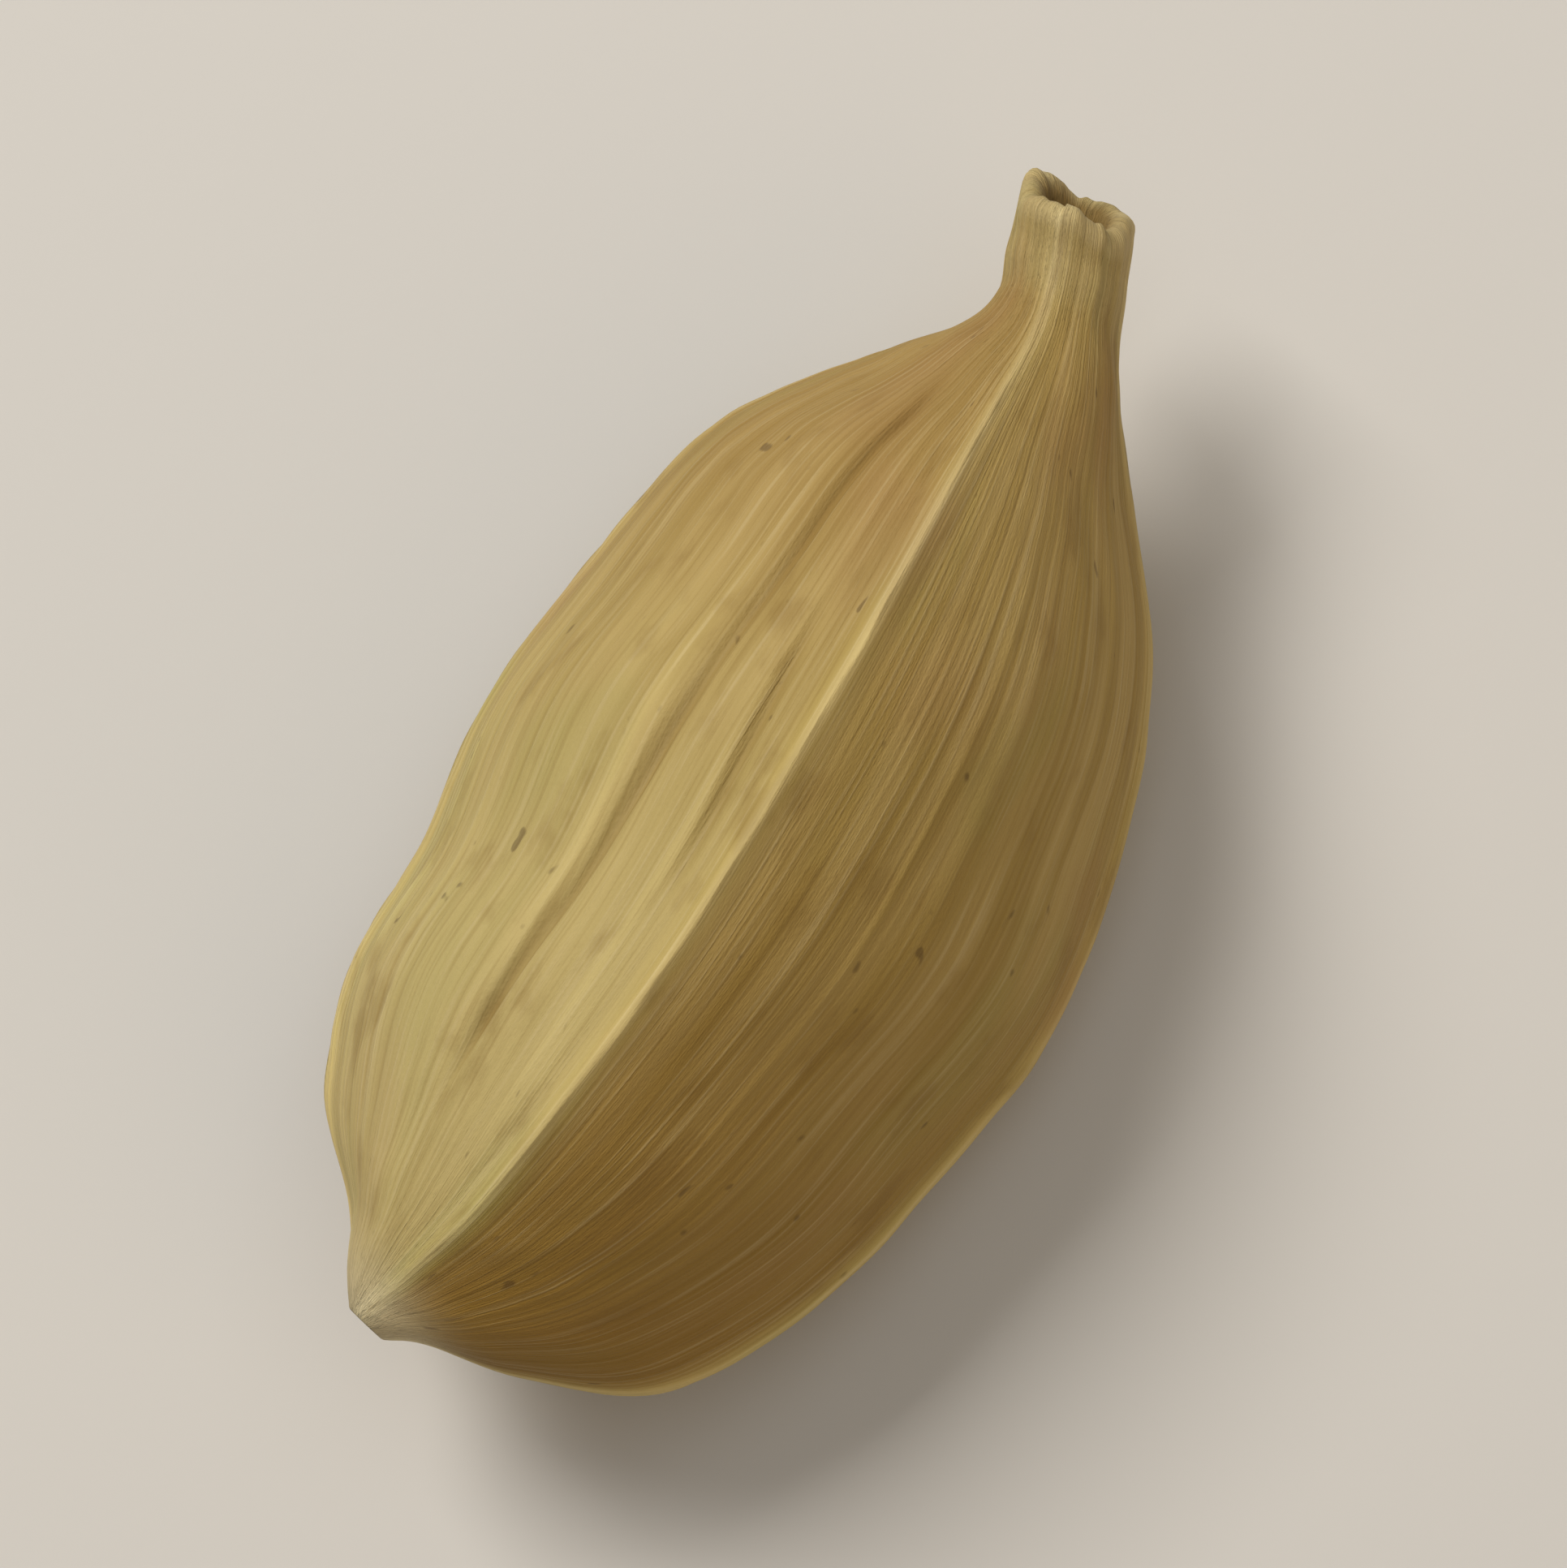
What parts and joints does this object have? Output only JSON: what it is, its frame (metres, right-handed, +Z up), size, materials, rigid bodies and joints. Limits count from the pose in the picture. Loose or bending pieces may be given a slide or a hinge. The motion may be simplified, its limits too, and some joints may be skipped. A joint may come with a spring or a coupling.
{
  "type": "green cardamom pod",
  "caption": "Dried green cardamom pod: a ribbed, three-sided papery husk with raised seams, a pointed stalk end and a withered flower stub, lying on one side.",
  "frame": {"origin": "middle of the pod's length and width, on the surface that it rests on", "axes": "+X along the pod from the stalk nib to the withered flower stub, +Y to the left seen from the nib, +Z up through the upper seam"},
  "size_m": [0.015, 0.0074, 0.0063],
  "materials": {
    "husk": "matte"
  },
  "bodies": {
    "root": {"cardamom_pod": "husk"}
  },
  "joints": []
}
